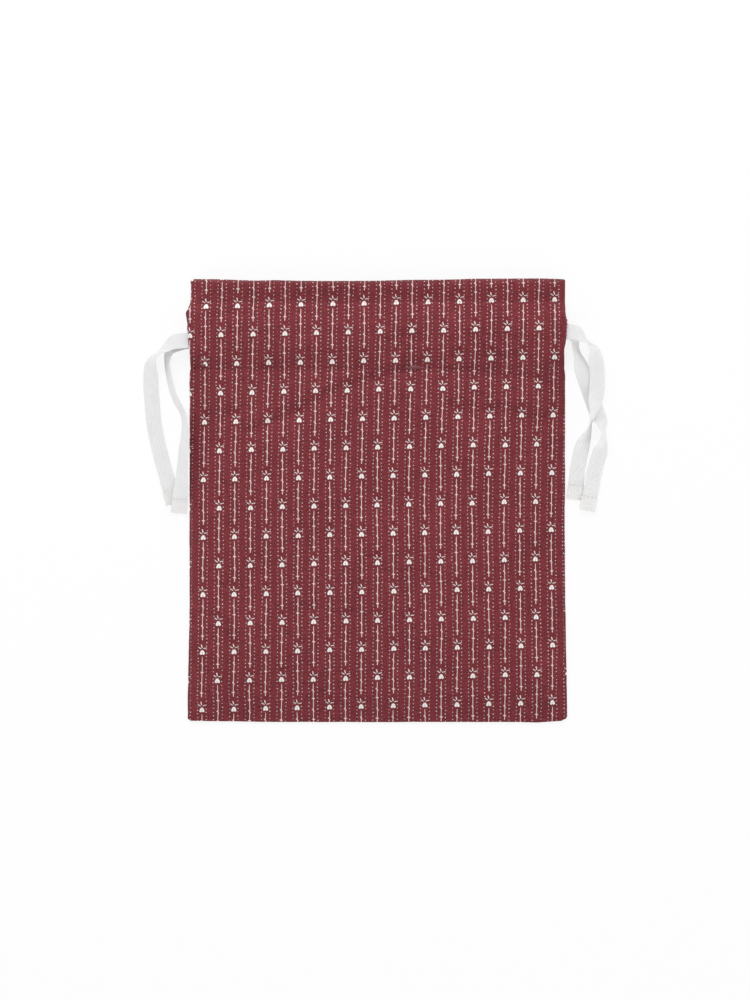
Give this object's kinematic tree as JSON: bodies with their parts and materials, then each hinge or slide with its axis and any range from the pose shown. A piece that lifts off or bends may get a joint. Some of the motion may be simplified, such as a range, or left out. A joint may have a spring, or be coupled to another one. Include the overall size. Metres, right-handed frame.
{
  "type": "drawstring gift bag",
  "caption": "Flat cotton gift bag with a printed cloth body, a stitched channel below its mouth and a pair of tape drawstrings pulled from opposite sides.",
  "frame": {"origin": "centre of the footprint of the flat bag, on the surface that its back lies on", "axes": "+X to the bag's right side seen from the front, +Y towards its mouth, +Z out of its front"},
  "size_m": [0.2956, 0.2801, 0.0115],
  "materials": {
    "printed_cloth": "matt printed cotton",
    "cloth_reverse": "matt unprinted back of the cotton",
    "cotton_tape": "matt woven tape"
  },
  "bodies": {
    "bag": {"front_panel": "printed_cloth", "back_panel": "printed_cloth", "front_facing": "printed_cloth", "back_facing": "printed_cloth", "left_side_seam": "cloth_reverse", "right_side_seam": "cloth_reverse", "left_header_seam": "cloth_reverse", "right_header_seam": "cloth_reverse", "front_left_slit_hem": "printed_cloth", "front_right_slit_hem": "printed_cloth", "back_left_slit_hem": "printed_cloth", "back_right_slit_hem": "printed_cloth", "left_facing_seam": "cloth_reverse", "right_facing_seam": "cloth_reverse", "bottom_seam": "cloth_reverse", "left_drawstring_turn": "cotton_tape", "right_drawstring_turn": "cotton_tape"},
    "left_drawstring": {"left_drawstring_front_run": "cotton_tape", "left_drawstring_front_tail": "cotton_tape", "left_drawstring_front_end": "cotton_tape", "left_drawstring_back_run": "cotton_tape", "left_drawstring_back_tail": "cotton_tape", "left_drawstring_back_end": "cotton_tape"},
    "right_drawstring": {"right_drawstring_front_run": "cotton_tape", "right_drawstring_front_tail": "cotton_tape", "right_drawstring_front_end": "cotton_tape", "right_drawstring_back_run": "cotton_tape", "right_drawstring_back_tail": "cotton_tape", "right_drawstring_back_end": "cotton_tape"}
  },
  "joints": [
    {"name": "left_drawstring_pull", "type": "slide", "parent": "bag", "child": "left_drawstring", "axis": [-0.9998, 0.0198, 0], "range_m": [0, 0.19]},
    {"name": "right_drawstring_pull", "type": "slide", "parent": "bag", "child": "right_drawstring", "axis": [0.9998, -0.0198, 0], "range_m": [0, 0.19]}
  ]
}
